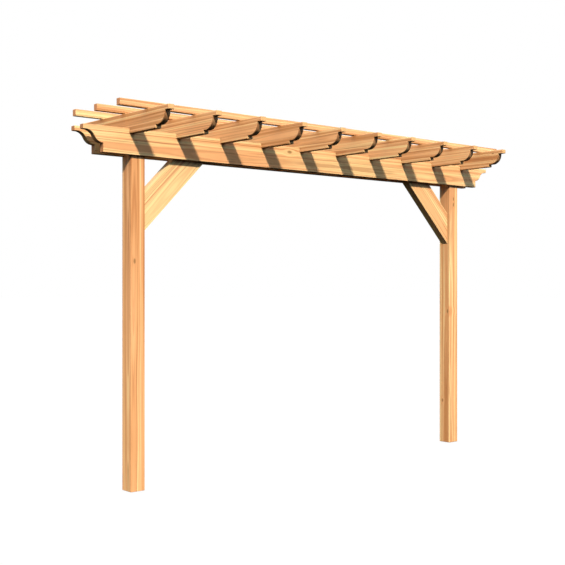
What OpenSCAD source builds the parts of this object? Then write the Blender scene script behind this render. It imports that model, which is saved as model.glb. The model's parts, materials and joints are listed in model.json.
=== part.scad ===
// Flat-topped garden pergola on two posts.
// A pair of beams clasps the post tops, rafters are notched over the beams,
// and slats lie along the rafters. Corner braces stiffen the frame.
// Millimetres. The origin is the middle of the left post's foot, at ground level.
// +X runs along the beams to the right post, +Y to the back, +Z up.

/* [Posts] */
// Side of the square posts
post_w = 102; // [80:1:150]
// Distance between the posts' centres
span = 3018; // [2400:1:4200]
// Height of the beams' underside above the ground
headroom = 2090; // [1700:1:2600]
// Depth of the housing cut in the front and back of each post top, where a beam is seated
housing = 20; // [10:1:26]

/* [Beams] */
// Height of the two beams
beam_h = 160; // [130:1:220]
// Thickness of the two beams
beam_t = 42; // [30:1:60]
// Length of each beam past the posts' centres
beam_overhang = 396; // [250:1:600]

/* [Rafters] */
// Number of rafters
rafter_count = 10; // [3:1:11]
// Distance between the rafters' centres
rafter_pitch = 350; // [250:1:400]
// How far the row of rafters sits to the right of the middle
rafter_shift = 11; // [-40:1:40]
// Height of the rafters
rafter_h = 128; // [110:1:180]
// Thickness of the rafters
rafter_t = 42; // [30:1:60]
// Length of the rafters
rafter_len = 1000; // [800:1:1600]
// Depth of the notches that seat the rafters on the beams
notch_depth = 30; // [10:1:50]

/* [Slats] */
// Width of the slats
slat_w = 38; // [25:1:60]
// Height of the slats
slat_h = 42; // [20:1:60]
// Length of the slats
slat_len = 3560; // [3250:1:4200]
// Distance between the slats' centres
slat_pitch = 262; // [150:1:450]

/* [Braces] */
// Width of the braces' faces
brace_w = 172; // [90:1:200]
// Distance from the beams' underside down to the foot of a brace
brace_drop = 473; // [300:1:700]
// Height of the braces' heads above the beams' underside
brace_rise = 110; // [40:1:125]

/* [Shaped ends] */
// Height of the plain nose at the tips of the beams and rafters
nose = 30; // [15:1:45]
// Length of the level cut behind a beam's nose
beam_ledge = 18; // [0:1:40]
// Length of the curve along a beam
curve_run = 120; // [90:1:180]
// Height of the beams' curve
curve_drop = 75; // [40:1:85]
// Length of the level cut behind a rafter's nose
rafter_ledge = 39; // [15:1:60]
// Height of the small upright cut above the round of a rafter's end
quirk = 5; // [2:1:12]
// Radius of the round of a rafter's end
round_r = 73; // [45:1:76]
// Length of the level cut behind that round
rafter_land = 24; // [5:1:50]

/* [Fits] */
// Clearance at each side of a rafter's notches
notch_play = 0.5; // [0.2:0.1:2]
// Clearance between the post tops and the rafters above them
top_play = 5; // [2:1:10]

/* [Hidden] */
$fn = 96;
cut = 10; // how far a cutting shape reaches past the wood
slat_names = ["front_slat", "middle_slat", "back_slat"];
tongue = post_w - 2 * housing; // what is left of a post between its two beams
beam_len = span + 2 * beam_overhang;
beam_top = headroom + beam_h;
rafter_bottom = beam_top - notch_depth;
rafter_top = rafter_bottom + rafter_h;
first_rafter_x = span / 2 + rafter_shift - (rafter_count - 1) * rafter_pitch / 2;
post_top = rafter_bottom - top_play;
brace_top = min(headroom + brace_rise, post_top);
brace_foot = headroom - brace_drop;
curve_r = (curve_run * curve_run + curve_drop * curve_drop) / (4 * curve_drop);

function rafter_name(i) = str("rafter_", i < 10 ? "0" : "", i);

// What is sawn away under the end of a beam whose lower corner is at the origin:
// a level cut, a hollow and a round of the same radius, and a square step.
module beam_cut() {
    shoulder = beam_h - nose;
    half_run = curve_run / 2;
    half_drop = curve_drop / 2;
    translate([-cut, -cut]) square([beam_ledge + cut, shoulder + cut]);
    translate([beam_ledge, 0]) {
        intersection() {
            translate([0, shoulder - curve_r]) circle(curve_r);
            translate([-beam_ledge, 0]) square([half_run + beam_ledge, shoulder + cut]);
        }
        difference() {
            translate([-beam_ledge - cut, -cut])
                square([beam_ledge + curve_run + cut, shoulder - half_drop + cut]);
            translate([curve_run, shoulder - curve_drop + curve_r]) circle(curve_r);
        }
    }
}

// The same for a rafter: a level cut, a small upright, a quarter round, another level
// cut and a square step.
module rafter_cut() {
    shoulder = rafter_h - nose;
    middle = rafter_ledge + round_r;
    difference() {
        translate([-cut, -cut]) square([middle + rafter_land + cut, shoulder + cut]);
        translate([middle, shoulder - quirk]) circle(round_r);
        translate([middle, shoulder - quirk - round_r]) square([rafter_land + cut, shoulder]);
        translate([rafter_ledge, shoulder - quirk]) square([round_r + cut, quirk + cut]);
    }
}

// The side view of a board with both ends sawn to the child's shape
module shaped_board(length, height) {
    difference() {
        square([length, height]);
        children();
        translate([length, 0]) mirror([1, 0]) children();
    }
}

module post(x) {
    color("burlywood") difference() {
        translate([x - post_w / 2, -post_w / 2, 0]) cube([post_w, post_w, post_top]);
        for (y = [-tongue / 2 - housing - cut, tongue / 2])
            translate([x - post_w / 2 - cut, y, headroom])
                cube([post_w + 2 * cut, housing + cut, post_top]);
    }
}

// A beam whose front face is at y
module beam(y) {
    color("tan") translate([-beam_overhang, y + beam_t, headroom]) rotate([90, 0, 0])
        linear_extrude(beam_t) shaped_board(beam_len, beam_h) beam_cut();
}

// The left corner's brace, at 45 degrees, with its foot cut to the post and its head level
module brace() {
    face = post_w / 2;
    foot_h = brace_w * sqrt(2);
    color("peru") translate([0, tongue / 2, 0]) rotate([90, 0, 0]) linear_extrude(tongue)
        polygon([
            [face, brace_foot],
            [face + brace_top - brace_foot, brace_top],
            [face + brace_top - brace_foot - foot_h, brace_top],
            [face, brace_foot + foot_h]
        ]);
}

// A rafter whose middle is at x, notched over both beams
module rafter(x) {
    color("goldenrod") translate([x - rafter_t / 2, -rafter_len / 2, rafter_bottom]) rotate([90, 0, 90])
        linear_extrude(rafter_t) difference() {
            shaped_board(rafter_len, rafter_h) rafter_cut();
            for (y = [-tongue / 2 - beam_t, tongue / 2])
                translate([rafter_len / 2 + y - notch_play, -cut])
                    square([beam_t + 2 * notch_play, notch_depth + cut]);
        }
}

// A slat whose middle is at y
module slat(y) {
    color("wheat") translate([(span - slat_len) / 2, y - slat_w / 2, rafter_top])
        cube([slat_len, slat_w, slat_h]);
}

post(0);  // left_post
post(span);  // right_post
beam(-tongue / 2 - beam_t);  // front_beam
beam(tongue / 2);  // back_beam
brace();  // left_brace
translate([span, 0, 0]) mirror([1, 0, 0]) brace();  // right_brace
for (i = [1 : rafter_count])
    rafter(first_rafter_x + (i - 1) * rafter_pitch);
for (i = [0 : len(slat_names) - 1])
    slat((i - 1) * slat_pitch);
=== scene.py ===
# %% [markdown]
# # A garden pergola in planed softwood
# Two square posts carry a pair of beams. Rafters are notched over the beams, slats lie along
# the rafters, and two braces stiffen the corners. A timber could be modelled where it stands,
# but here each is sawn on a bench first, lying along X, and then put up. So its grain can be
# measured on the bench, where it is simple, and it still runs along the timber wherever that
# ends up.

# %% Load the frame that gives every timber its place
import json
import math

import bmesh
import bpy
from mathutils import Matrix, Vector

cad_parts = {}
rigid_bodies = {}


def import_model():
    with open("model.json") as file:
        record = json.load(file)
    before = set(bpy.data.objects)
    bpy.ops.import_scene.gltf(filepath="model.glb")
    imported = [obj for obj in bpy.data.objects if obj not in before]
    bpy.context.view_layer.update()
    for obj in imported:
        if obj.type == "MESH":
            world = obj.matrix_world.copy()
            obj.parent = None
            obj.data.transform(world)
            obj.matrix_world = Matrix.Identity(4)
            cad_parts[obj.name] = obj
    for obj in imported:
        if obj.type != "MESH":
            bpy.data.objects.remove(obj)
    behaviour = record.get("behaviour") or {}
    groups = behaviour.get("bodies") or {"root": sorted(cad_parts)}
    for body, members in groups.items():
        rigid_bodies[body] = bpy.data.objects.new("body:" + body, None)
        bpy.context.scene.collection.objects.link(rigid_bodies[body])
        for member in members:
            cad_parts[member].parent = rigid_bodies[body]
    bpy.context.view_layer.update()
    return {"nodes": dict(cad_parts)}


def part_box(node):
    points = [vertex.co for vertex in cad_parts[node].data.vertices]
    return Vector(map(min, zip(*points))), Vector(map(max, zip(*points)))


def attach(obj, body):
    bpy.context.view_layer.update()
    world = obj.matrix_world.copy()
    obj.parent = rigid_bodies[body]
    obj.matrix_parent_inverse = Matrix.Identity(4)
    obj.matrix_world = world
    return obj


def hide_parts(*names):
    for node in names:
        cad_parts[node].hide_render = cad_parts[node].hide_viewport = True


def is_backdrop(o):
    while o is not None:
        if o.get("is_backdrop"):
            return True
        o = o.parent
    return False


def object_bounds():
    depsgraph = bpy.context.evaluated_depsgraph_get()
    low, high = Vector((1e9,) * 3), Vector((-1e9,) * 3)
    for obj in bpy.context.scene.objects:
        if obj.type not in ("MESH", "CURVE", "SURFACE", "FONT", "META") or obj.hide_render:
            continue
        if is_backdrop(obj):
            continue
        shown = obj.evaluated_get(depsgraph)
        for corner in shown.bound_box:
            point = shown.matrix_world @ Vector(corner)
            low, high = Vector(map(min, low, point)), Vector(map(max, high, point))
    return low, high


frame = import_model()

# %% [markdown]
# ## The sizes
# Lengths and sections could be typed from a drawing, but then a change of plan has to be typed
# twice. The frame already has a box for every timber, so they are read from there. What a box
# can't tell, such as the curve at a beam's end, is named in the cell that first needs it.

# %% Read the sizes from the frame, in metres
post_low, post_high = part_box("left_post")
beam_low, beam_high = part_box("front_beam")
POST_W = post_high.x - post_low.x
BEAM_T = beam_high.y - beam_low.y
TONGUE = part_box("back_beam")[0].y - beam_high.y
NOTCH_DEPTH = beam_high.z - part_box("rafter_01")[0].z
RAFTERS = sorted(name for name in frame["nodes"] if name.startswith("rafter"))
print("posts", round(POST_W, 3), "beams", round(BEAM_T, 3), "tongue", round(TONGUE, 3),
      "notches", round(NOTCH_DEPTH, 3), "m, and", len(RAFTERS), "rafters")

# %% [markdown]
# ## Sawing a board to its outline
# A board's outline could be typed as a list of points, but a pencil does it better: it walks
# from corner to corner, and swings round a centre where the edge is curved. Extruding a vertex
# and spinning it do just that. Only half is drawn, and a mirror gives the other half, as a
# template turned over would.

# %% Walk and swing a pencil point along an outline
CURVE_STEPS = 12  # straight strokes in each arc


def walk(bm, point, *corners):
    """Draws straight lines from a vertex through the corners, given as (x, z)."""
    for x, z in corners:
        point = bmesh.ops.extrude_vert_indiv(bm, verts=[point])["verts"][0]
        point.co = (x, 0, z)
    return point


def swing(bm, point, centre, angle):
    """Draws an arc from a vertex, about a centre given as (x, z)."""
    swept = bmesh.ops.spin(bm, geom=[point], cent=(centre[0], 0, centre[1]), axis=(0, 1, 0),
                           angle=angle, steps=CURVE_STEPS)
    return next(v for v in swept["geom_last"] if isinstance(v, bmesh.types.BMVert))


# %% Turn half an outline into a board of the given thickness, centred on the bench
WELD = 1e-5  # metres: points nearer than this are one point
FLAT = math.radians(0.5)  # faces that meet at less than this are one face


def saw(bm, thickness, mirror="X"):
    """mirror is the axis along which the other half of the outline lies."""
    bmesh.ops.mirror(bm, geom=bm.verts[:] + bm.edges[:], merge_dist=WELD, axis=mirror)
    bmesh.ops.remove_doubles(bm, verts=bm.verts[:], dist=WELD)
    bmesh.ops.edgeloop_fill(bm, edges=bm.edges[:])
    bmesh.ops.translate(bm, verts=bm.verts[:], vec=(0, -thickness / 2, 0))
    side = bmesh.ops.extrude_face_region(bm, geom=bm.faces[:])["geom"]
    moved = [v for v in side if isinstance(v, bmesh.types.BMVert)]
    bmesh.ops.translate(bm, verts=moved, vec=(0, thickness, 0))
    bmesh.ops.dissolve_limit(bm, angle_limit=FLAT, verts=bm.verts[:], edges=bm.edges[:])
    bmesh.ops.recalc_face_normals(bm, faces=bm.faces[:])
    return bm


# %% [markdown]
# ## Putting a timber up
# The sharp edges of planed timber are always eased a little, and that thin rounded edge is
# what catches the light. Shading tricks can't give it an outline, so it is bevelled for real.
# Only edges that stick out are eased: the inside corners of notches stay as the saw left them.
# Each point also keeps its place on the bench in an attribute, measured from the heart of the
# tree the board was sawn from. Object coordinates could give a place too, but they wouldn't
# turn with the timber. Each face keeps how squarely it cuts across the grain.

# %% Mark how squarely each face cuts across the grain
SQUARE_CUT = 0.9995  # a face at least this square to the grain is a plain sawn end
CURVED_CUT = 0.85  # the most that any other face can show of its end grain


def mark_end_grain(bm, unbench):
    """unbench takes the timber back from its place to the bench."""
    across = bm.faces.layers.float.new("end_grain")
    for face in bm.faces:
        square = abs((unbench.to_3x3() @ face.normal).x)
        face[across] = 1.0 if square > SQUARE_CUT else CURVED_CUT * square


# %% Ease the edges that stick out
EASED = 0.003  # metres, as every size here
EASE_STEPS = 3
SHARP = math.radians(40)


def ease_edges(bm, eased):
    sharp = [e for e in bm.edges if e.calc_face_angle() > SHARP and e.is_convex]
    bmesh.ops.bevel(bm, geom=sharp, offset=eased, segments=EASE_STEPS, profile=0.5,
                    affect="EDGES", material=-1, clamp_overlap=True)
    for face in bm.faces:
        face.smooth = True
    for edge in bm.edges:
        edge.smooth = edge.calc_face_angle(0) < SHARP


# %% Put a timber up, with its place in the tree and its material
def put_up(bm, node, bench, heart, material, eased=EASED):
    """bench takes the board from the bench to its place. heart is the pith on the bench."""
    unbench = bench.inverted()
    mark_end_grain(bm, unbench)
    ease_edges(bm, eased)
    mesh = bpy.data.meshes.new("timber_" + node)
    grain = bm.verts.layers.float_vector.new("grain")
    for vert in bm.verts:
        vert[grain] = unbench @ vert.co - heart
    bm.to_mesh(mesh)
    bm.free()
    piece = bpy.data.objects.new("timber_" + node, mesh)
    bpy.context.scene.collection.objects.link(piece)
    piece.data.materials.append(material)
    piece.modifiers.new("even shading", "WEIGHTED_NORMAL").keep_sharp = True
    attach(piece, "root")
    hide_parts(node)
    print(piece.name, len(mesh.polygons), "faces")


# %% [markdown]
# ## The wood
# The timbers are softwood, planed smooth and wiped with a clear honey stain. Planing leaves a
# flat face with a low sheen, and a clear stain hides nothing, so what the eye gets is the
# tree: rings round the heart, pale and wide where it grew in spring, thin and orange where it
# grew in summer. A flat picture of grain would look glued on. So the material works out how
# far each point is from the heart, and long, slow wandering of that distance draws the flames
# and streaks on the wide faces and the arcs on the ends by itself.

# %% Turn a hex colour into the linear numbers that light is reckoned in
def colour(hex_code):
    """Undoes the sRGB curve, a straight foot and then a power."""
    parts = [int(hex_code[i:i + 2], 16) / 255 for i in (1, 3, 5)]
    return tuple(p / 12.92 if p <= 0.04045 else ((p + 0.055) / 1.055) ** 2.4
                 for p in parts) + (1,)


print("the screen grey #808080 gives back", round(colour("#808080")[0], 3), "of the light")


# %% Add a node with its settings and its links
def add(tree, kind, sockets=None, out=0, **settings):
    """Gives back the output named or numbered by out, ready for the next node's sockets."""
    node = tree.nodes.new(kind)
    for key, value in settings.items():
        setattr(node, key, value)
    for key, value in (sockets or {}).items():
        if isinstance(value, bpy.types.NodeSocket):
            tree.links.new(value, node.inputs[key])
        else:
            node.inputs[key].default_value = value
    return node.outputs[out] if node.outputs else None


# %% The colours of the wood, as they are in flat white light
PALE = colour("#FAD493")  # wide spring growth
HONEY = colour("#F2B277")  # what most of a board has
RUDDY = colour("#CF8E53")  # the darkest bands
SUMMER = colour("#A9622F")  # the thin hard lines
KNOT = colour("#835C27")  # hard wood full of resin
SOAKED = colour("#8A5C38")  # slanting cuts, which drink more stain
FRESH_CUT = colour("#E7B475")  # sawn ends of posts, braces and rafters
DUSTY_CUT = colour("#CB8857")  # sawn ends of slats
# The beams' sawn ends are painted darker than the others, as painted shade for the shaded steps
# at their ends.
SHADED_BEAM_CUT = colour("#B87A48")  # sawn ends of beams
print("pale wood gives back", [round(part, 2) for part in PALE[:3]], "of red, green and blue")

# %% [markdown]
# ## The rings
# Each year's ring is a cylinder round the heart, but no tree is straight: over a metre or so
# the heart strays by up to 16 mm, and the rings quiver by up to 2 mm. A wave texture could
# draw rings, but it bends them as much along the trunk as across it, and wood doesn't. Here
# noise moves each place first, slowly along the grain. What is left of the place across the
# grain is then a distance from the heart, and everything else is drawn from that.

# %% Work out the distance from the heart, with its wandering
STRAY = 0.016
STRAY_TURNS = (0.9, 5.0, 5.0)  # per metre, along the timber and across it
QUIVER = 0.002
QUIVER_TURNS = (4.0, 26.0, 26.0)


def ring_distance(tree, grain):
    slow = add(tree, "ShaderNodeVectorMath", {0: grain, 1: STRAY_TURNS}, operation="MULTIPLY")
    drift = add(tree, "ShaderNodeTexNoise", {"Vector": slow, "Scale": 1.0, "Detail": 1.0},
                "Color")
    centred = add(tree, "ShaderNodeVectorMath", {0: drift, 1: (0.5, 0.5, 0.5)},
                  operation="SUBTRACT")
    strayed = add(tree, "ShaderNodeVectorMath", {0: centred, 1: (STRAY * 2,) * 3, 2: grain},
                  operation="MULTIPLY_ADD")
    flat = add(tree, "ShaderNodeVectorMath", {0: strayed, 1: (0.0, 1.0, 1.0)},
               operation="MULTIPLY")
    radius = add(tree, "ShaderNodeVectorMath", {0: flat}, "Value", operation="LENGTH")
    quick = add(tree, "ShaderNodeVectorMath", {0: grain, 1: QUIVER_TURNS}, operation="MULTIPLY")
    quiver = add(tree, "ShaderNodeTexNoise", {"Vector": quick, "Scale": 1.0, "Detail": 2.0},
                 "Fac")
    return add(tree, "ShaderNodeMath", {0: quiver, 1: QUIVER * 2, 2: radius},
               operation="MULTIPLY_ADD")


# %% [markdown]
# ## The knots
# A knot is a branch that the trunk grew round. On a board it is a dark oval, and the grain
# parts to flow past it on both sides. It could be a dark spot painted on, but then the lines
# would run straight through it. So the distance from the heart is raised on the branch's inner
# side and lowered on its outer side, and every line drawn from that distance parts by itself.

# %% Part the rings round a branch
KNOT_OVAL = (0.5, 1.0, 1.0)  # halved along the grain, which makes it twice as long
KNOT_REACH = 4  # how far the grain parts, in sizes of the knot
KNOT_PUSH = 1.2  # how wide it parts at the knot itself, in the same
KNOT_HEART, KNOT_RIM = 0.4, 1.3  # where its dark begins to fade, and where it ends
KNOT_DARK = 0.75


def part_round(tree, grain, distance, place, limb, size):
    """limb is the way the branch grew. Gives the new distance, and how dark the knot is."""
    away = add(tree, "ShaderNodeVectorMath", {0: grain, 1: place}, operation="SUBTRACT")
    along = add(tree, "ShaderNodeVectorMath", {0: away, 1: limb}, operation="PROJECT")
    off = add(tree, "ShaderNodeVectorMath", {0: away, 1: along}, operation="SUBTRACT")
    oval = add(tree, "ShaderNodeVectorMath", {0: off, 1: KNOT_OVAL}, operation="MULTIPLY")
    gap = add(tree, "ShaderNodeVectorMath", {0: oval}, "Value", operation="LENGTH")
    swell = add(tree, "ShaderNodeMapRange",
                {"Value": gap, "From Max": size * KNOT_REACH, "To Min": size * KNOT_PUSH,
                 "To Max": 0.0}, interpolation_type="SMOOTHERSTEP")
    outward = Vector((0, place.y, place.z)).normalized()
    height = add(tree, "ShaderNodeVectorMath", {0: off, 1: outward}, "Value",
                 operation="DOT_PRODUCT")
    side = add(tree, "ShaderNodeMapRange", {"Value": height, "From Min": -size,
                                            "From Max": size, "To Min": 1.0, "To Max": -1.0})
    distance = add(tree, "ShaderNodeMath", {0: swell, 1: side, 2: distance},
                   operation="MULTIPLY_ADD")
    dark = add(tree, "ShaderNodeMapRange",
               {"Value": gap, "From Min": size * KNOT_HEART, "From Max": size * KNOT_RIM,
                "To Min": KNOT_DARK, "To Max": 0.0}, interpolation_type="SMOOTHSTEP")
    return distance, dark


# %% [markdown]
# ## The bands, lines and fibres
# Real softwood has bands of good and poor years 10 to 20 mm wide, rings 2 to 4 mm apart, late
# lines 1 mm thick and fibres 0.03 mm across. From where the camera stands, nothing under about
# 6 mm is crisp. So the bands have their real width, and the rest is drawn coarser: rings 11 mm
# apart, lines 5 mm thick and fibres 1.2 mm across, which are for close views.
# A noise stretched along the board could give streaks. This one is laid across the rings
# instead of across the board's face, so the streaks close into arcs on the ends.

# %% Stretch a noise along the grain, across the rings at the given spacing
STREAK, STREAK_LENGTH = 0.017, 2.2  # metres, the real width of a band
FINE_STREAK, FINE_STREAK_LENGTH = 0.005, 1.1  # five times the real 1 mm, so that it shows
RING = 0.011  # three to five times the real spacing, so that it shows
FIBRE, FIBRE_LENGTH = 0.0012, 0.12  # forty times the real 0.03 mm, so that it shows close by
print("bands, rings, lines and fibres:",
      [round(size * 1000, 1) for size in (STREAK, RING, FINE_STREAK, FIBRE)], "mm")


def ring_noise(tree, grain, distance, spacing, length):
    along = add(tree, "ShaderNodeSeparateXYZ", {0: grain}, "X")
    lengthwise = add(tree, "ShaderNodeMath", {0: along, 1: 1 / length}, operation="MULTIPLY")
    crosswise = add(tree, "ShaderNodeMath", {0: distance, 1: 1 / spacing},
                    operation="MULTIPLY")
    place = add(tree, "ShaderNodeCombineXYZ", {0: lengthwise, 1: crosswise})
    return add(tree, "ShaderNodeTexNoise", {"Vector": place, "Scale": 1.0, "Detail": 1.0},
               "Fac")


# %% Find the summer wood of each ring, and the fibres
SPRING_ENDS, SUMMER_FULL = 0.55, 0.97  # as shares of a ring


def summer_wood(tree, distance):
    """Grows over a ring and stops sharply, as the tree does when winter comes."""
    turns = add(tree, "ShaderNodeMath", {0: distance, 1: 1 / RING}, operation="MULTIPLY")
    share = add(tree, "ShaderNodeMath", {0: turns}, operation="FRACT")
    return add(tree, "ShaderNodeMapRange",
               {"Value": share, "From Min": SPRING_ENDS, "From Max": SUMMER_FULL},
               interpolation_type="SMOOTHSTEP")


def fibres(tree, grain):
    place = add(tree, "ShaderNodeVectorMath",
                {0: grain, 1: (1 / FIBRE_LENGTH, 1 / FIBRE, 1 / FIBRE)}, operation="MULTIPLY")
    return add(tree, "ShaderNodeTexNoise", {"Vector": place, "Scale": 1.0, "Detail": 2.0},
               "Fac")


# %% Colour the long grain, from its widest bands down to its fibres
HONEY_FROM, HONEY_FULL = 0.34, 0.48  # of the broad noise, which is mostly 0.3 to 0.7
PALE_FROM, PALE_FULL = 0.50, 0.66
LINE_FROM, LINE_FULL, LINE_TINT = 0.55, 0.68, 0.55
SUMMER_TINT = 0.3
FIBRE_LOW, FIBRE_HIGH = 0.3, 0.7
FIBRE_DARK, FIBRE_LIGHT = 0.9, 1.06


def long_grain(tree, grain, distance, summer, fibre, paleness, streak):
    broad = ring_noise(tree, grain, distance, streak, STREAK_LENGTH)
    fine = ring_noise(tree, grain, distance, FINE_STREAK, FINE_STREAK_LENGTH)
    honeyed = add(tree, "ShaderNodeMapRange",
                  {"Value": broad, "From Min": HONEY_FROM - paleness,
                   "From Max": HONEY_FULL - paleness})
    paled = add(tree, "ShaderNodeMapRange", {"Value": broad, "From Min": PALE_FROM - paleness,
                                             "From Max": PALE_FULL - paleness})
    late = add(tree, "ShaderNodeMath", {0: summer, 1: SUMMER_TINT}, operation="MULTIPLY")
    lines = add(tree, "ShaderNodeMapRange", {"Value": fine, "From Min": LINE_FROM,
                                             "From Max": LINE_FULL, "To Max": LINE_TINT})
    wood = RUDDY
    for share, tone in ((honeyed, HONEY), (paled, PALE), (late, SUMMER), (lines, SUMMER)):
        wood = add(tree, "ShaderNodeMix", {0: share, 6: wood, 7: tone}, 2, data_type="RGBA")
    shade = add(tree, "ShaderNodeMapRange",
                {"Value": fibre, "From Min": FIBRE_LOW, "From Max": FIBRE_HIGH,
                 "To Min": FIBRE_DARK, "To Max": FIBRE_LIGHT})
    tint = add(tree, "ShaderNodeCombineXYZ", {0: shade, 1: shade, 2: shade})
    return add(tree, "ShaderNodeMix", {0: 1.0, 6: wood, 7: tint}, 2, data_type="RGBA",
               blend_type="MULTIPLY")


# %% [markdown]
# ## The finish
# Cut ends look different from planed faces, because open pores drink the stain and go dark.
# A saw leaves the square ends of the boards paler, with dust in the pores. Both could be
# separate materials, but then the change would stop dead at an edge. The end_grain attribute
# lets one material go from face to end by itself, and round a curve it does so bit by bit.
# The sheen is low and a little uneven, as planed wood's is: the fibres change the roughness,
# and the hard summer wood stands proud of the face by a hair.

# %% Lay knots and cut ends over the long grain
SOAK_FROM, SOAK_FULL, SOAK_TINT = 0.3, 0.8, 0.6
CUT_FROM, CUT_FULL, CUT_TINT = 0.9, 1.0, 0.85


def lay_knots_and_ends(tree, wood, dark, cut):
    """dark is where the knots are. cut is the colour of a plain sawn end."""
    end_cut = add(tree, "ShaderNodeAttribute", out="Fac", attribute_name="end_grain")
    soaked = add(tree, "ShaderNodeMapRange", {"Value": end_cut, "From Min": SOAK_FROM,
                                              "From Max": SOAK_FULL, "To Max": SOAK_TINT})
    sawn = add(tree, "ShaderNodeMapRange", {"Value": end_cut, "From Min": CUT_FROM,
                                            "From Max": CUT_FULL, "To Max": CUT_TINT})
    for share, tone in ((dark, KNOT), (soaked, SOAKED), (sawn, cut)):
        wood = add(tree, "ShaderNodeMix", {0: share, 6: wood, 7: tone}, 2, data_type="RGBA")
    return wood


# %% Build the wood of one timber
SMOOTH, COARSE = 0.5, 0.68  # planed and stained softwood is between satin and matt
VARNISH_IOR = 1.5  # typical of stains and varnishes
PROUD = 0.0004  # metres that the summer wood and the fibres stand out
PROUD_STRENGTH = 0.5
PROUD_SUMMER = 0.5  # how much of that is the summer wood's


def softwood(name, knots=(), cut=FRESH_CUT, paleness=0.0, streak=STREAK):
    """paleness moves a board towards its pale bands. streak is the width of its bands."""
    material = bpy.data.materials.new("stained softwood " + name)
    material.use_nodes = True
    tree = material.node_tree
    tree.nodes.clear()
    grain = add(tree, "ShaderNodeAttribute", out="Vector", attribute_name="grain")
    distance, dark = ring_distance(tree, grain), 0.0
    for knot in knots:
        distance, spot = part_round(tree, grain, distance, *knot)
        dark = add(tree, "ShaderNodeMath", {0: dark, 1: spot}, operation="MAXIMUM")
    summer, fibre = summer_wood(tree, distance), fibres(tree, grain)
    wood = long_grain(tree, grain, distance, summer, fibre, paleness, streak)
    wood = lay_knots_and_ends(tree, wood, dark, cut)
    height = add(tree, "ShaderNodeMath", {0: summer, 1: PROUD_SUMMER, 2: fibre},
                 operation="MULTIPLY_ADD")
    relief = add(tree, "ShaderNodeBump", {"Height": height, "Strength": PROUD_STRENGTH,
                                          "Distance": PROUD})
    rough = add(tree, "ShaderNodeMapRange",
                {"Value": fibre, "From Min": FIBRE_LOW, "From Max": FIBRE_HIGH,
                 "To Min": SMOOTH, "To Max": COARSE})
    shader = add(tree, "ShaderNodeBsdfPrincipled", {"Base Color": wood, "Roughness": rough,
                                                    "Normal": relief, "IOR": VARNISH_IOR})
    add(tree, "ShaderNodeOutputMaterial", {"Surface": shader})
    print(material.name, len(tree.nodes), "nodes")
    return material


# %% [markdown]
# ## Picking the boards
# Boards from one place in a tree look alike, and those of a real stack don't. Random places
# would make them differ, but a joiner looks through the stack for the board that suits each
# place, so these are listed one by one. A knot is named where it shows on the pergola, and
# carried back to the bench from there, because that is where the grain is measured.

# %% Say how far along the tree each board was sawn, in metres
SAWN_AT = {
    "left_post": 1935.1, "right_post": 978.5, "front_beam": 239.9, "back_beam": 109.5,
    "left_brace": 356.7, "right_brace": 1052.5, "rafter_01": 2254.3, "rafter_02": 196.1,
    "rafter_03": 754.2, "rafter_04": 1863.1, "rafter_05": 2421.2, "rafter_06": 1051.5,
    "rafter_07": 1471.9, "rafter_08": 653.0, "rafter_09": 2450.4, "rafter_10": 943.0,
    "front_slat": 1936.1, "middle_slat": 153.3, "back_slat": 711.4,
}


def heart_at(name, across, up):
    """Where the pith lay, measured across and up from the bench's middle line."""
    return Vector((-SAWN_AT[name], across, up))


print(len(SAWN_AT), "boards picked")


# %% Carry a knot from where it shows on the pergola back to the tree
def knot_at(bench, heart, x, y, z, size, facing=(0, 1, 0)):
    """facing is the way the branch grew: along Y unless it says otherwise."""
    unbench = bench.inverted()
    limb = unbench.to_3x3() @ Vector(facing)
    return unbench @ Vector((x, y, z)) - heart, limb, size


# %% [markdown]
# ## The posts
# Two square posts stand on the ground, and the beams clasp their tops. For that a post is
# housed: wood is cut away front and back, and a tongue is left that rises between the beams.
# A boolean could cut the housings, but drawn as part of the outline they have clean faces. The
# post lies on the bench with its foot at zero and its housings above and below. A roll brings
# those to the front and back, and a quarter turn about Y stands the post up.

# %% Draw a post lying on the bench, with the tongue that stands between the beams
def post_board(length, width, shoulder, tongue):
    bm = bmesh.new()
    point = bm.verts.new((0, 0, 0))
    walk(bm, point, (0, width / 2), (shoulder, width / 2), (shoulder, tongue / 2),
         (length, tongue / 2), (length, 0))
    return saw(bm, width, mirror="Z")


# %% Saw and stand the posts
STAND_UP = Matrix.Rotation(-math.pi / 2, 4, "Y")
ROLL = Matrix.Rotation(math.pi / 2, 4, "X")
RIGHTWARD = (1, 0, 0)
POST_HEART = (0.03, 0.02)
POST_PALENESS = {"left_post": -0.03, "right_post": 0.01}
POST_KNOTS = {  # x, y, z and size in metres, and the way the branch grew if it isn't along Y
    "left_post": [(-0.024, -0.051, 1.434, 0.009)],
    "right_post": [(3.021, -0.051, 1.981, 0.008), (3.021, -0.051, 1.936, 0.009),
                   (2.967, -0.032, 1.068, 0.009, RIGHTWARD),
                   (2.967, 0.02, 0.339, 0.008, RIGHTWARD)],
}
for name in ("left_post", "right_post"):
    low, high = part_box(name)
    middle = (low + high) / 2
    post = post_board(high.z, POST_W, beam_low.z, TONGUE)
    place = Matrix.Translation((middle.x, middle.y, 0)) @ STAND_UP @ ROLL
    bmesh.ops.transform(post, matrix=place, verts=post.verts[:])
    heart = heart_at(name, *POST_HEART)
    knots = [knot_at(place, heart, *knot) for knot in POST_KNOTS[name]]
    wood = softwood(name, knots, paleness=POST_PALENESS[name])
    put_up(post, name, place, heart, wood)

# %% [markdown]
# ## The beams
# A beam is a long board on edge, let into the housings of both posts. Its ends are sawn to
# an old pattern: a plain nose, a short level cut, a hollow, a round of the same radius, and a
# square step. Free curves could follow that, but a workshop's template has two arcs that meet
# halfway, so the radius and the angle of both follow from how long and how high the curve is.

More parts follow.
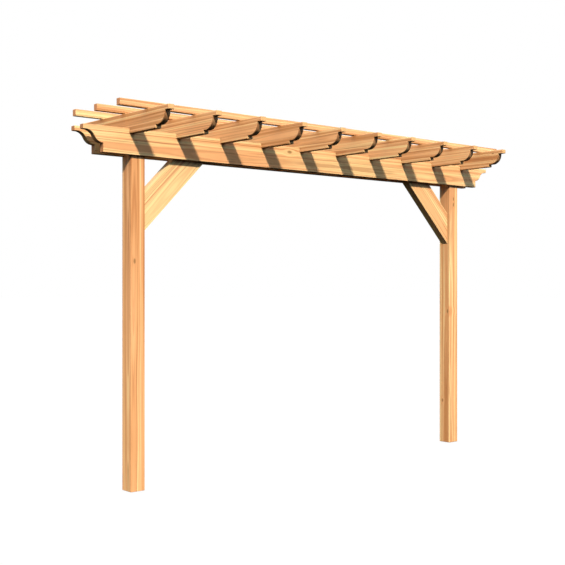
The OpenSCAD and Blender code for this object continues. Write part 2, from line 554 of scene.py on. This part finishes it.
# %% Draw a beam, up the step and the curve of its end to the nose
NOSE = 0.030  # height of the plain nose
BEAM_LEDGE = 0.018  # length of the level cut behind it
CURVE_RUN = 0.120  # length of the curve
CURVE_DROP = 0.075  # height of the curve
CURVE_R = (CURVE_RUN ** 2 + CURVE_DROP ** 2) / (4 * CURVE_DROP)
CURVE_ANGLE = 2 * math.atan(CURVE_DROP / CURVE_RUN)
print("the beams' curve is two arcs of", round(CURVE_R * 1000, 1), "mm radius")


def beam_board(length, height, thickness):
    bm = bmesh.new()
    end = -length / 2
    shoulder = height - NOSE
    back = end + BEAM_LEDGE + CURVE_RUN
    low = shoulder - CURVE_DROP
    point = walk(bm, bm.verts.new((0, 0, 0)), (back, 0), (back, low))
    point = swing(bm, point, (back, low + CURVE_R), CURVE_ANGLE)
    point = swing(bm, point, (end + BEAM_LEDGE, shoulder - CURVE_R), -CURVE_ANGLE)
    walk(bm, point, (end, shoulder), (end, height), (0, height))
    return saw(bm, thickness)


# %% Saw and seat the beams
BEAM_HEART = (0.05, 0.05)
BEAM_PALENESS = 0.09
BEAM_STREAK = 0.013
BEAM_KNOTS = {"front_beam": (1.232, -0.073, 2.213, 0.012),  # x, y, z and size
              "back_beam": (2.31, 0.073, 2.155, 0.009)}


def seat_at(low, high):
    """Moves the bench's middle to the middle of a box, at its bottom."""
    return Matrix.Translation(((low.x + high.x) / 2, (low.y + high.y) / 2, low.z))


for name in ("front_beam", "back_beam"):
    low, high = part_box(name)
    beam = beam_board(high.x - low.x, high.z - low.z, high.y - low.y)
    place = seat_at(low, high)
    bmesh.ops.transform(beam, matrix=place, verts=beam.verts[:])
    heart = heart_at(name, *BEAM_HEART)
    knots = [knot_at(place, heart, *BEAM_KNOTS[name])]
    # The beams' sawn ends take a darker colour here, as painted shade for the shaded steps at
    # their ends.
    wood = softwood(name, knots, SHADED_BEAM_CUT, BEAM_PALENESS, BEAM_STREAK)
    put_up(beam, name, place, heart, wood)

# %% [markdown]
# ## The rafters
# The rafters cross the beams on edge. Each has a notch over either beam, so that it can't
# slide or tip, and half a millimetre of play, or it would never drop on. The ends are sawn to
# a second pattern: a nose, a level cut, a small upright, a quarter round, another level cut and
# a step. One rafter could be copied along the beams, but copies would repeat the same grain,
# so each is sawn by itself, with the heart of the tree at a height of its own.

# %% Draw a rafter's end, up the step and the round to the nose
RAFTER_LEDGE = 0.039  # length of the level cut behind the nose
QUIRK = 0.005  # height of the small upright
ROUND_R = 0.073  # radius of the round
RAFTER_LAND = 0.024  # length of the level cut behind it
print("a rafter's shaped end is", round(RAFTER_LEDGE + ROUND_R + RAFTER_LAND, 3), "m long")


def rafter_end(bm, point, length, height):
    end = -length / 2
    shoulder = height - NOSE
    middle = end + RAFTER_LEDGE + ROUND_R
    low = shoulder - QUIRK - ROUND_R
    back = middle + RAFTER_LAND
    point = walk(bm, point, (back, 0), (back, low), (middle, low))
    point = swing(bm, point, (middle, shoulder - QUIRK), math.pi / 2)
    walk(bm, point, (end + RAFTER_LEDGE, shoulder), (end, shoulder), (end, height), (0, height))


# %% Draw a rafter with its notches
NOTCH_PLAY = 0.0005  # at each side of a beam


def rafter_board(length, height, thickness):
    bm = bmesh.new()
    inner = -TONGUE / 2 + NOTCH_PLAY
    outer = -TONGUE / 2 - BEAM_T - NOTCH_PLAY
    point = walk(bm, bm.verts.new((0, 0, 0)), (inner, 0), (inner, NOTCH_DEPTH),
                 (outer, NOTCH_DEPTH), (outer, 0))
    rafter_end(bm, point, length, height)
    return saw(bm, thickness)


print("a notch is", round((BEAM_T + 2 * NOTCH_PLAY) * 1000, 1), "mm wide")

# %% Saw and seat the rafters
TURN_ACROSS = Matrix.Rotation(math.pi / 2, 4, "Z")
RAFTER_PALENESS = {"rafter_01": -0.06, "rafter_05": 0.05, "rafter_10": -0.09}
RAFTER_KNOTS = {"rafter_10": [(-0.407, 2.325, 0.006)],  # y, z and size, on the left face
                "rafter_04": [(0.21, 2.29, 0.006)]}
HEART_ACROSS = 0.04
HEART_LOWEST, HEART_STEP, HEART_STEPS = 0.03, 0.01, 5  # five heights, then over again
for number, name in enumerate(RAFTERS):
    low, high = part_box(name)
    rafter = rafter_board(high.y - low.y, high.z - low.z, high.x - low.x)
    place = seat_at(low, high) @ TURN_ACROSS
    bmesh.ops.transform(rafter, matrix=place, verts=rafter.verts[:])
    heart = heart_at(name, HEART_ACROSS, HEART_LOWEST + HEART_STEP * (number % HEART_STEPS))
    knots = [knot_at(place, heart, low.x, y, z, size, RIGHTWARD)
             for y, z, size in RAFTER_KNOTS.get(name, ())]
    wood = softwood(name, knots, paleness=RAFTER_PALENESS.get(name, 0.0))
    put_up(rafter, name, place, heart, wood)

# %% [markdown]
# ## The slats
# Three plain battens lie along the rafters, with their ends past the outer ones. A batten has
# no outline to draw: a cube made to its size is all its shape, and the eased edges, the grain
# and the sawn ends do the rest. Thin battens are eased less than posts and beams, or they
# would look like rods.

# %% Saw and lay the slats
SLAT_EASED = 0.002  # metres
SLAT_HEART = (0.03, 0.06)
SLAT_PALENESS = {"front_slat": -0.02, "middle_slat": -0.07, "back_slat": 0.21}


def plain_board(length, height, thickness):
    bm = bmesh.new()
    bmesh.ops.create_cube(bm, size=1)
    bmesh.ops.scale(bm, vec=(length, thickness, height), verts=bm.verts[:])
    bmesh.ops.translate(bm, vec=(0, 0, height / 2), verts=bm.verts[:])
    return bm


for name in ("front_slat", "middle_slat", "back_slat"):
    low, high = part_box(name)
    slat = plain_board(high.x - low.x, high.z - low.z, high.y - low.y)
    place = seat_at(low, high)
    bmesh.ops.transform(slat, matrix=place, verts=slat.verts[:])
    wood = softwood(name, cut=DUSTY_CUT, paleness=SLAT_PALENESS[name])
    put_up(slat, name, place, heart_at(name, *SLAT_HEART), wood, SLAT_EASED)

# %% [markdown]
# ## The braces
# A brace leans from a post up between the beams at 45 degrees and keeps the corner square. Its
# foot is cut upright, to stand flat on the post, and its head is cut level. The four corners
# could be worked out and typed. A carpenter holds an overlong board in place instead and marks
# both cuts on it, and bisecting a board does the same, with its grain still running along it.
# The foot's cut starts right at the board's corner and leaves a face as thin as a hair there.
# The easing shrinks until it fits that face, so a brace's edges are in effect left sharp.
# Merging the doubled points after the cuts would mend that.

# %% Lean a board that is too long in its corner
BRACE_W = 0.172  # width of its face
BRACE_ANGLE = math.pi / 4  # 45 degrees


def leaning_board(low, high, side):
    """side is 1 if it leans to the right and -1 if it leans to the left."""
    board = plain_board(2 * (high.z - low.z) * math.sqrt(2), BRACE_W, high.y - low.y)
    foot_x = low.x if side > 0 else high.x
    lean = Matrix.Rotation(-side * BRACE_ANGLE, 4, "Y")
    place = Matrix.Translation((foot_x, (low.y + high.y) / 2, low.z)) @ lean
    bmesh.ops.transform(board, matrix=place, verts=board.verts[:])
    return board, place, foot_x


# %% Cut its foot and its head, and fit it
BRACE_PALENESS = {"left_brace": 0.17, "right_brace": 0.09}
BRACE_STREAK = 0.012
BRACE_HEART = (0.05, 0.05)
for name, side in (("left_brace", 1), ("right_brace", -1)):
    low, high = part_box(name)
    brace, place, foot_x = leaning_board(low, high, side)
    for point, normal in (((foot_x, 0, 0), (-side, 0, 0)), ((0, 0, high.z), (0, 0, 1))):
        cut = bmesh.ops.bisect_plane(
            brace, geom=brace.verts[:] + brace.edges[:] + brace.faces[:],
            plane_co=point, plane_no=normal, clear_outer=True)
        edges = [e for e in cut["geom_cut"] if isinstance(e, bmesh.types.BMEdge)]
        bmesh.ops.holes_fill(brace, edges=edges)
    bmesh.ops.recalc_face_normals(brace, faces=brace.faces[:])
    wood = softwood(name, paleness=BRACE_PALENESS[name], streak=BRACE_STREAK)
    put_up(brace, name, place, heart_at(name, *BRACE_HEART), wood)

# %% [markdown]
# ## The floor
# The pergola stands on a plain pale floor. A square plane could do, but a wide disc shows no
# corners. White paint would take every shadow of the frame. So the paint is dark, and glows
# nearly white instead, which leaves only a faint shade. The floor is hidden from bounced
# light, or its glow would fill in the dark undersides.

# %% Lay a plain pale floor
FLOOR_RADIUS = 80
FLOOR_DROP = 0.001  # just under the posts' feet
FLOOR_GLOW = 0.96
MATT_PAINT = colour("#504038")

floor_mesh = bmesh.new()
bmesh.ops.create_circle(floor_mesh, cap_ends=True, segments=64, radius=FLOOR_RADIUS)
bmesh.ops.translate(floor_mesh, verts=floor_mesh.verts[:], vec=(0, 0, -FLOOR_DROP))
floor_data = bpy.data.meshes.new("studio_floor")
floor_mesh.to_mesh(floor_data)
floor_mesh.free()
floor = bpy.data.objects.new("studio_floor", floor_data)
bpy.context.scene.collection.objects.link(floor)
floor.visible_diffuse = False
floor.visible_glossy = False
floor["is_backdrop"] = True
print("a floor of", 2 * FLOOR_RADIUS, "m across")

# %% Paint the floor matt, which has no shine to give the lamps away
paint = bpy.data.materials.new("pale matt floor paint")
paint.use_nodes = True
paint.node_tree.nodes.clear()
matt = add(paint.node_tree, "ShaderNodeBsdfDiffuse", {"Color": MATT_PAINT})
glow = add(paint.node_tree, "ShaderNodeEmission", {"Color": colour("#FFFFFF"),
                                                   "Strength": FLOOR_GLOW})
both = add(paint.node_tree, "ShaderNodeAddShader", {0: matt, 1: glow})
add(paint.node_tree, "ShaderNodeOutputMaterial", {"Surface": both})
floor.data.materials.append(paint)
print("the floor is painted with", paint.name)

# %% [markdown]
# ## The key light
# A sun from the front left, 39 degrees up, shapes everything. A single lamp would also draw
# the slats' shadows over the rafters and the rafters' shadows down the posts, and the clean
# faces would be lost in stripes. So there are two alike, one for the top and one for what
# carries it, and light linking says what each one lights and what casts its shadows. Their
# light isn't passed on from timber to timber, because that would turn the shadows red.

# %% Hang a lamp that lights only some of the timbers
def gather(name, *words):
    """A collection of the timbers whose names hold one of the words."""
    group = bpy.data.collections.new(name)
    for piece in bpy.data.objects:
        if piece.name.startswith("timber_") and any(word in piece.name for word in words):
            group.objects.link(piece)
    return group


def hang_lamp(name, strength, spread, tint, travel, receivers, blockers=None):
    """spread is how wide the lamp looks, in degrees. travel is the way its light goes."""
    lamp = bpy.data.lights.new(name, "SUN")
    lamp.energy = strength
    lamp.angle = math.radians(spread)
    lamp.color = tint
    lamp.cycles.max_bounces = 0
    hung = bpy.data.objects.new(name, lamp)
    bpy.context.scene.collection.objects.link(hung)
    hung.rotation_euler = Vector(travel).to_track_quat("-Z", "Y").to_euler()
    hung.light_linking.receiver_collection = receivers
    hung.light_linking.blocker_collection = blockers


# %% Light it from the front left
SUN_STRENGTH, SUN_SPREAD = 4.85, 4
SUN_TINT = (1.0, 0.885, 0.77)
SUN_TRAVEL = (0.364, 0.692, -0.623)
hang_lamp("key light on the top", SUN_STRENGTH, SUN_SPREAD, SUN_TINT, SUN_TRAVEL,
          gather("top", "beam", "rafter", "slat"),
          gather("top blockers", "beam", "rafter", "post", "brace"))
hang_lamp("key light on the posts", SUN_STRENGTH, SUN_SPREAD, SUN_TINT, SUN_TRAVEL,
          gather("supports", "post", "brace"),
          gather("support blockers", "beam", "post"))

# %% [markdown]
# ## The warm light on the sides and the light for the back
# A wooden wall near by would send some of the sun back, low and orange, and warm the sides
# that face left. Building that wall could give it, but a weak lamp of its colour is quieter
# and can be set by itself. The back would be left in the sky's blue, so it gets a soft lamp
# too, wide enough for its shadows to be soft.

# %% Warm the left sides, as a wooden wall near by would
BOUNCE_STRENGTH, BOUNCE_SPREAD = 0.26, 20
BOUNCE_TINT = (1.0, 0.6, 0.05)
BOUNCE_TRAVEL = (0.9, 0.1, -0.42)
hang_lamp("warm bounce", BOUNCE_STRENGTH, BOUNCE_SPREAD, BOUNCE_TINT, BOUNCE_TRAVEL,
          gather("bounce receivers", "timber_"),
          gather("bounce blockers", "beam", "post", "brace"))

# %% Add a weaker lamp for the back
FILL_STRENGTH, FILL_SPREAD = 2.1, 30
FILL_TINT = (1.0, 0.87, 0.75)
FILL_TRAVEL = (-0.6, -0.7, -0.25)
hang_lamp("back fill", FILL_STRENGTH, FILL_SPREAD, FILL_TINT, FILL_TRAVEL,
          gather("all timbers", "timber_"))

# %% [markdown]
# ## The sky
# Soft light comes from all round, and more of it from above, as it does outdoors. An even sky
# would light the undersides as well, so it fades to almost nothing at the horizon. The camera
# sees plain white instead: a light path node tells what it sees from what lights the wood.

# %% Surround it with a pale sky that is dark from below
SKY_TINT = (0.42, 0.55, 0.68, 1)
SKY_LOW, SKY_HIGH = 0.01, 2.3  # its strength at the horizon, and where it is full
SKY_FULL = 0.55  # how high that is, with 1 straight above

world = bpy.data.worlds.new("studio")
bpy.context.scene.world = world
world.use_nodes = True
sky = world.node_tree
sky.nodes.clear()
direction = add(sky, "ShaderNodeTexCoord", out="Generated")
upward = add(sky, "ShaderNodeSeparateXYZ", {0: direction}, "Z")
strength = add(sky, "ShaderNodeMapRange", {"Value": upward, "From Max": SKY_FULL,
                                           "To Min": SKY_LOW, "To Max": SKY_HIGH})
dome = add(sky, "ShaderNodeBackground", {"Color": SKY_TINT, "Strength": strength})
backdrop = add(sky, "ShaderNodeBackground", {"Color": (1, 1, 1, 1), "Strength": 1.0})
seen = add(sky, "ShaderNodeLightPath", out="Is Camera Ray")
mixed = add(sky, "ShaderNodeMixShader", {0: seen, 1: dome, 2: backdrop})
add(sky, "ShaderNodeOutputWorld", {"Surface": mixed})
print("the sky goes from", SKY_LOW, "to", SKY_HIGH)

# %% [markdown]
# ## The camera
# It stands at the front left, 1.3 m above the ground. It could be tilted or turned freely, but
# it looks level, so that the posts stay upright. A longish lens keeps the far end from
# shrinking too much. The view is shown as the light falls, with no film look laid over it.

# %% Set the camera at the front left
SENSOR = 36  # mm
LENS = 64.72  # mm
CAMERA_AT = (-3.427, -5.441, 1.301)
CAMERA_TURN = -40.55  # degrees from looking straight to the back

camera_data = bpy.data.cameras.new("camera")
camera_data.sensor_width = SENSOR
camera_data.lens = LENS
camera = bpy.data.objects.new("camera", camera_data)
bpy.context.scene.collection.objects.link(camera)
camera.location = CAMERA_AT
camera.rotation_euler = (math.pi / 2, 0, math.radians(CAMERA_TURN))
bpy.context.scene.camera = camera
bpy.context.scene.view_settings.view_transform = "Standard"
print("the camera sees", round(math.degrees(camera_data.angle), 1), "degrees")

# %% [markdown]
# ## The last look
# A joiner measures the finished piece. The box round all the new timbers is measured and
# printed.

# %% Measure the finished pergola
low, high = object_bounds()
print("the finished pergola is", [round(b - a, 4) for a, b in zip(low, high)], "m")
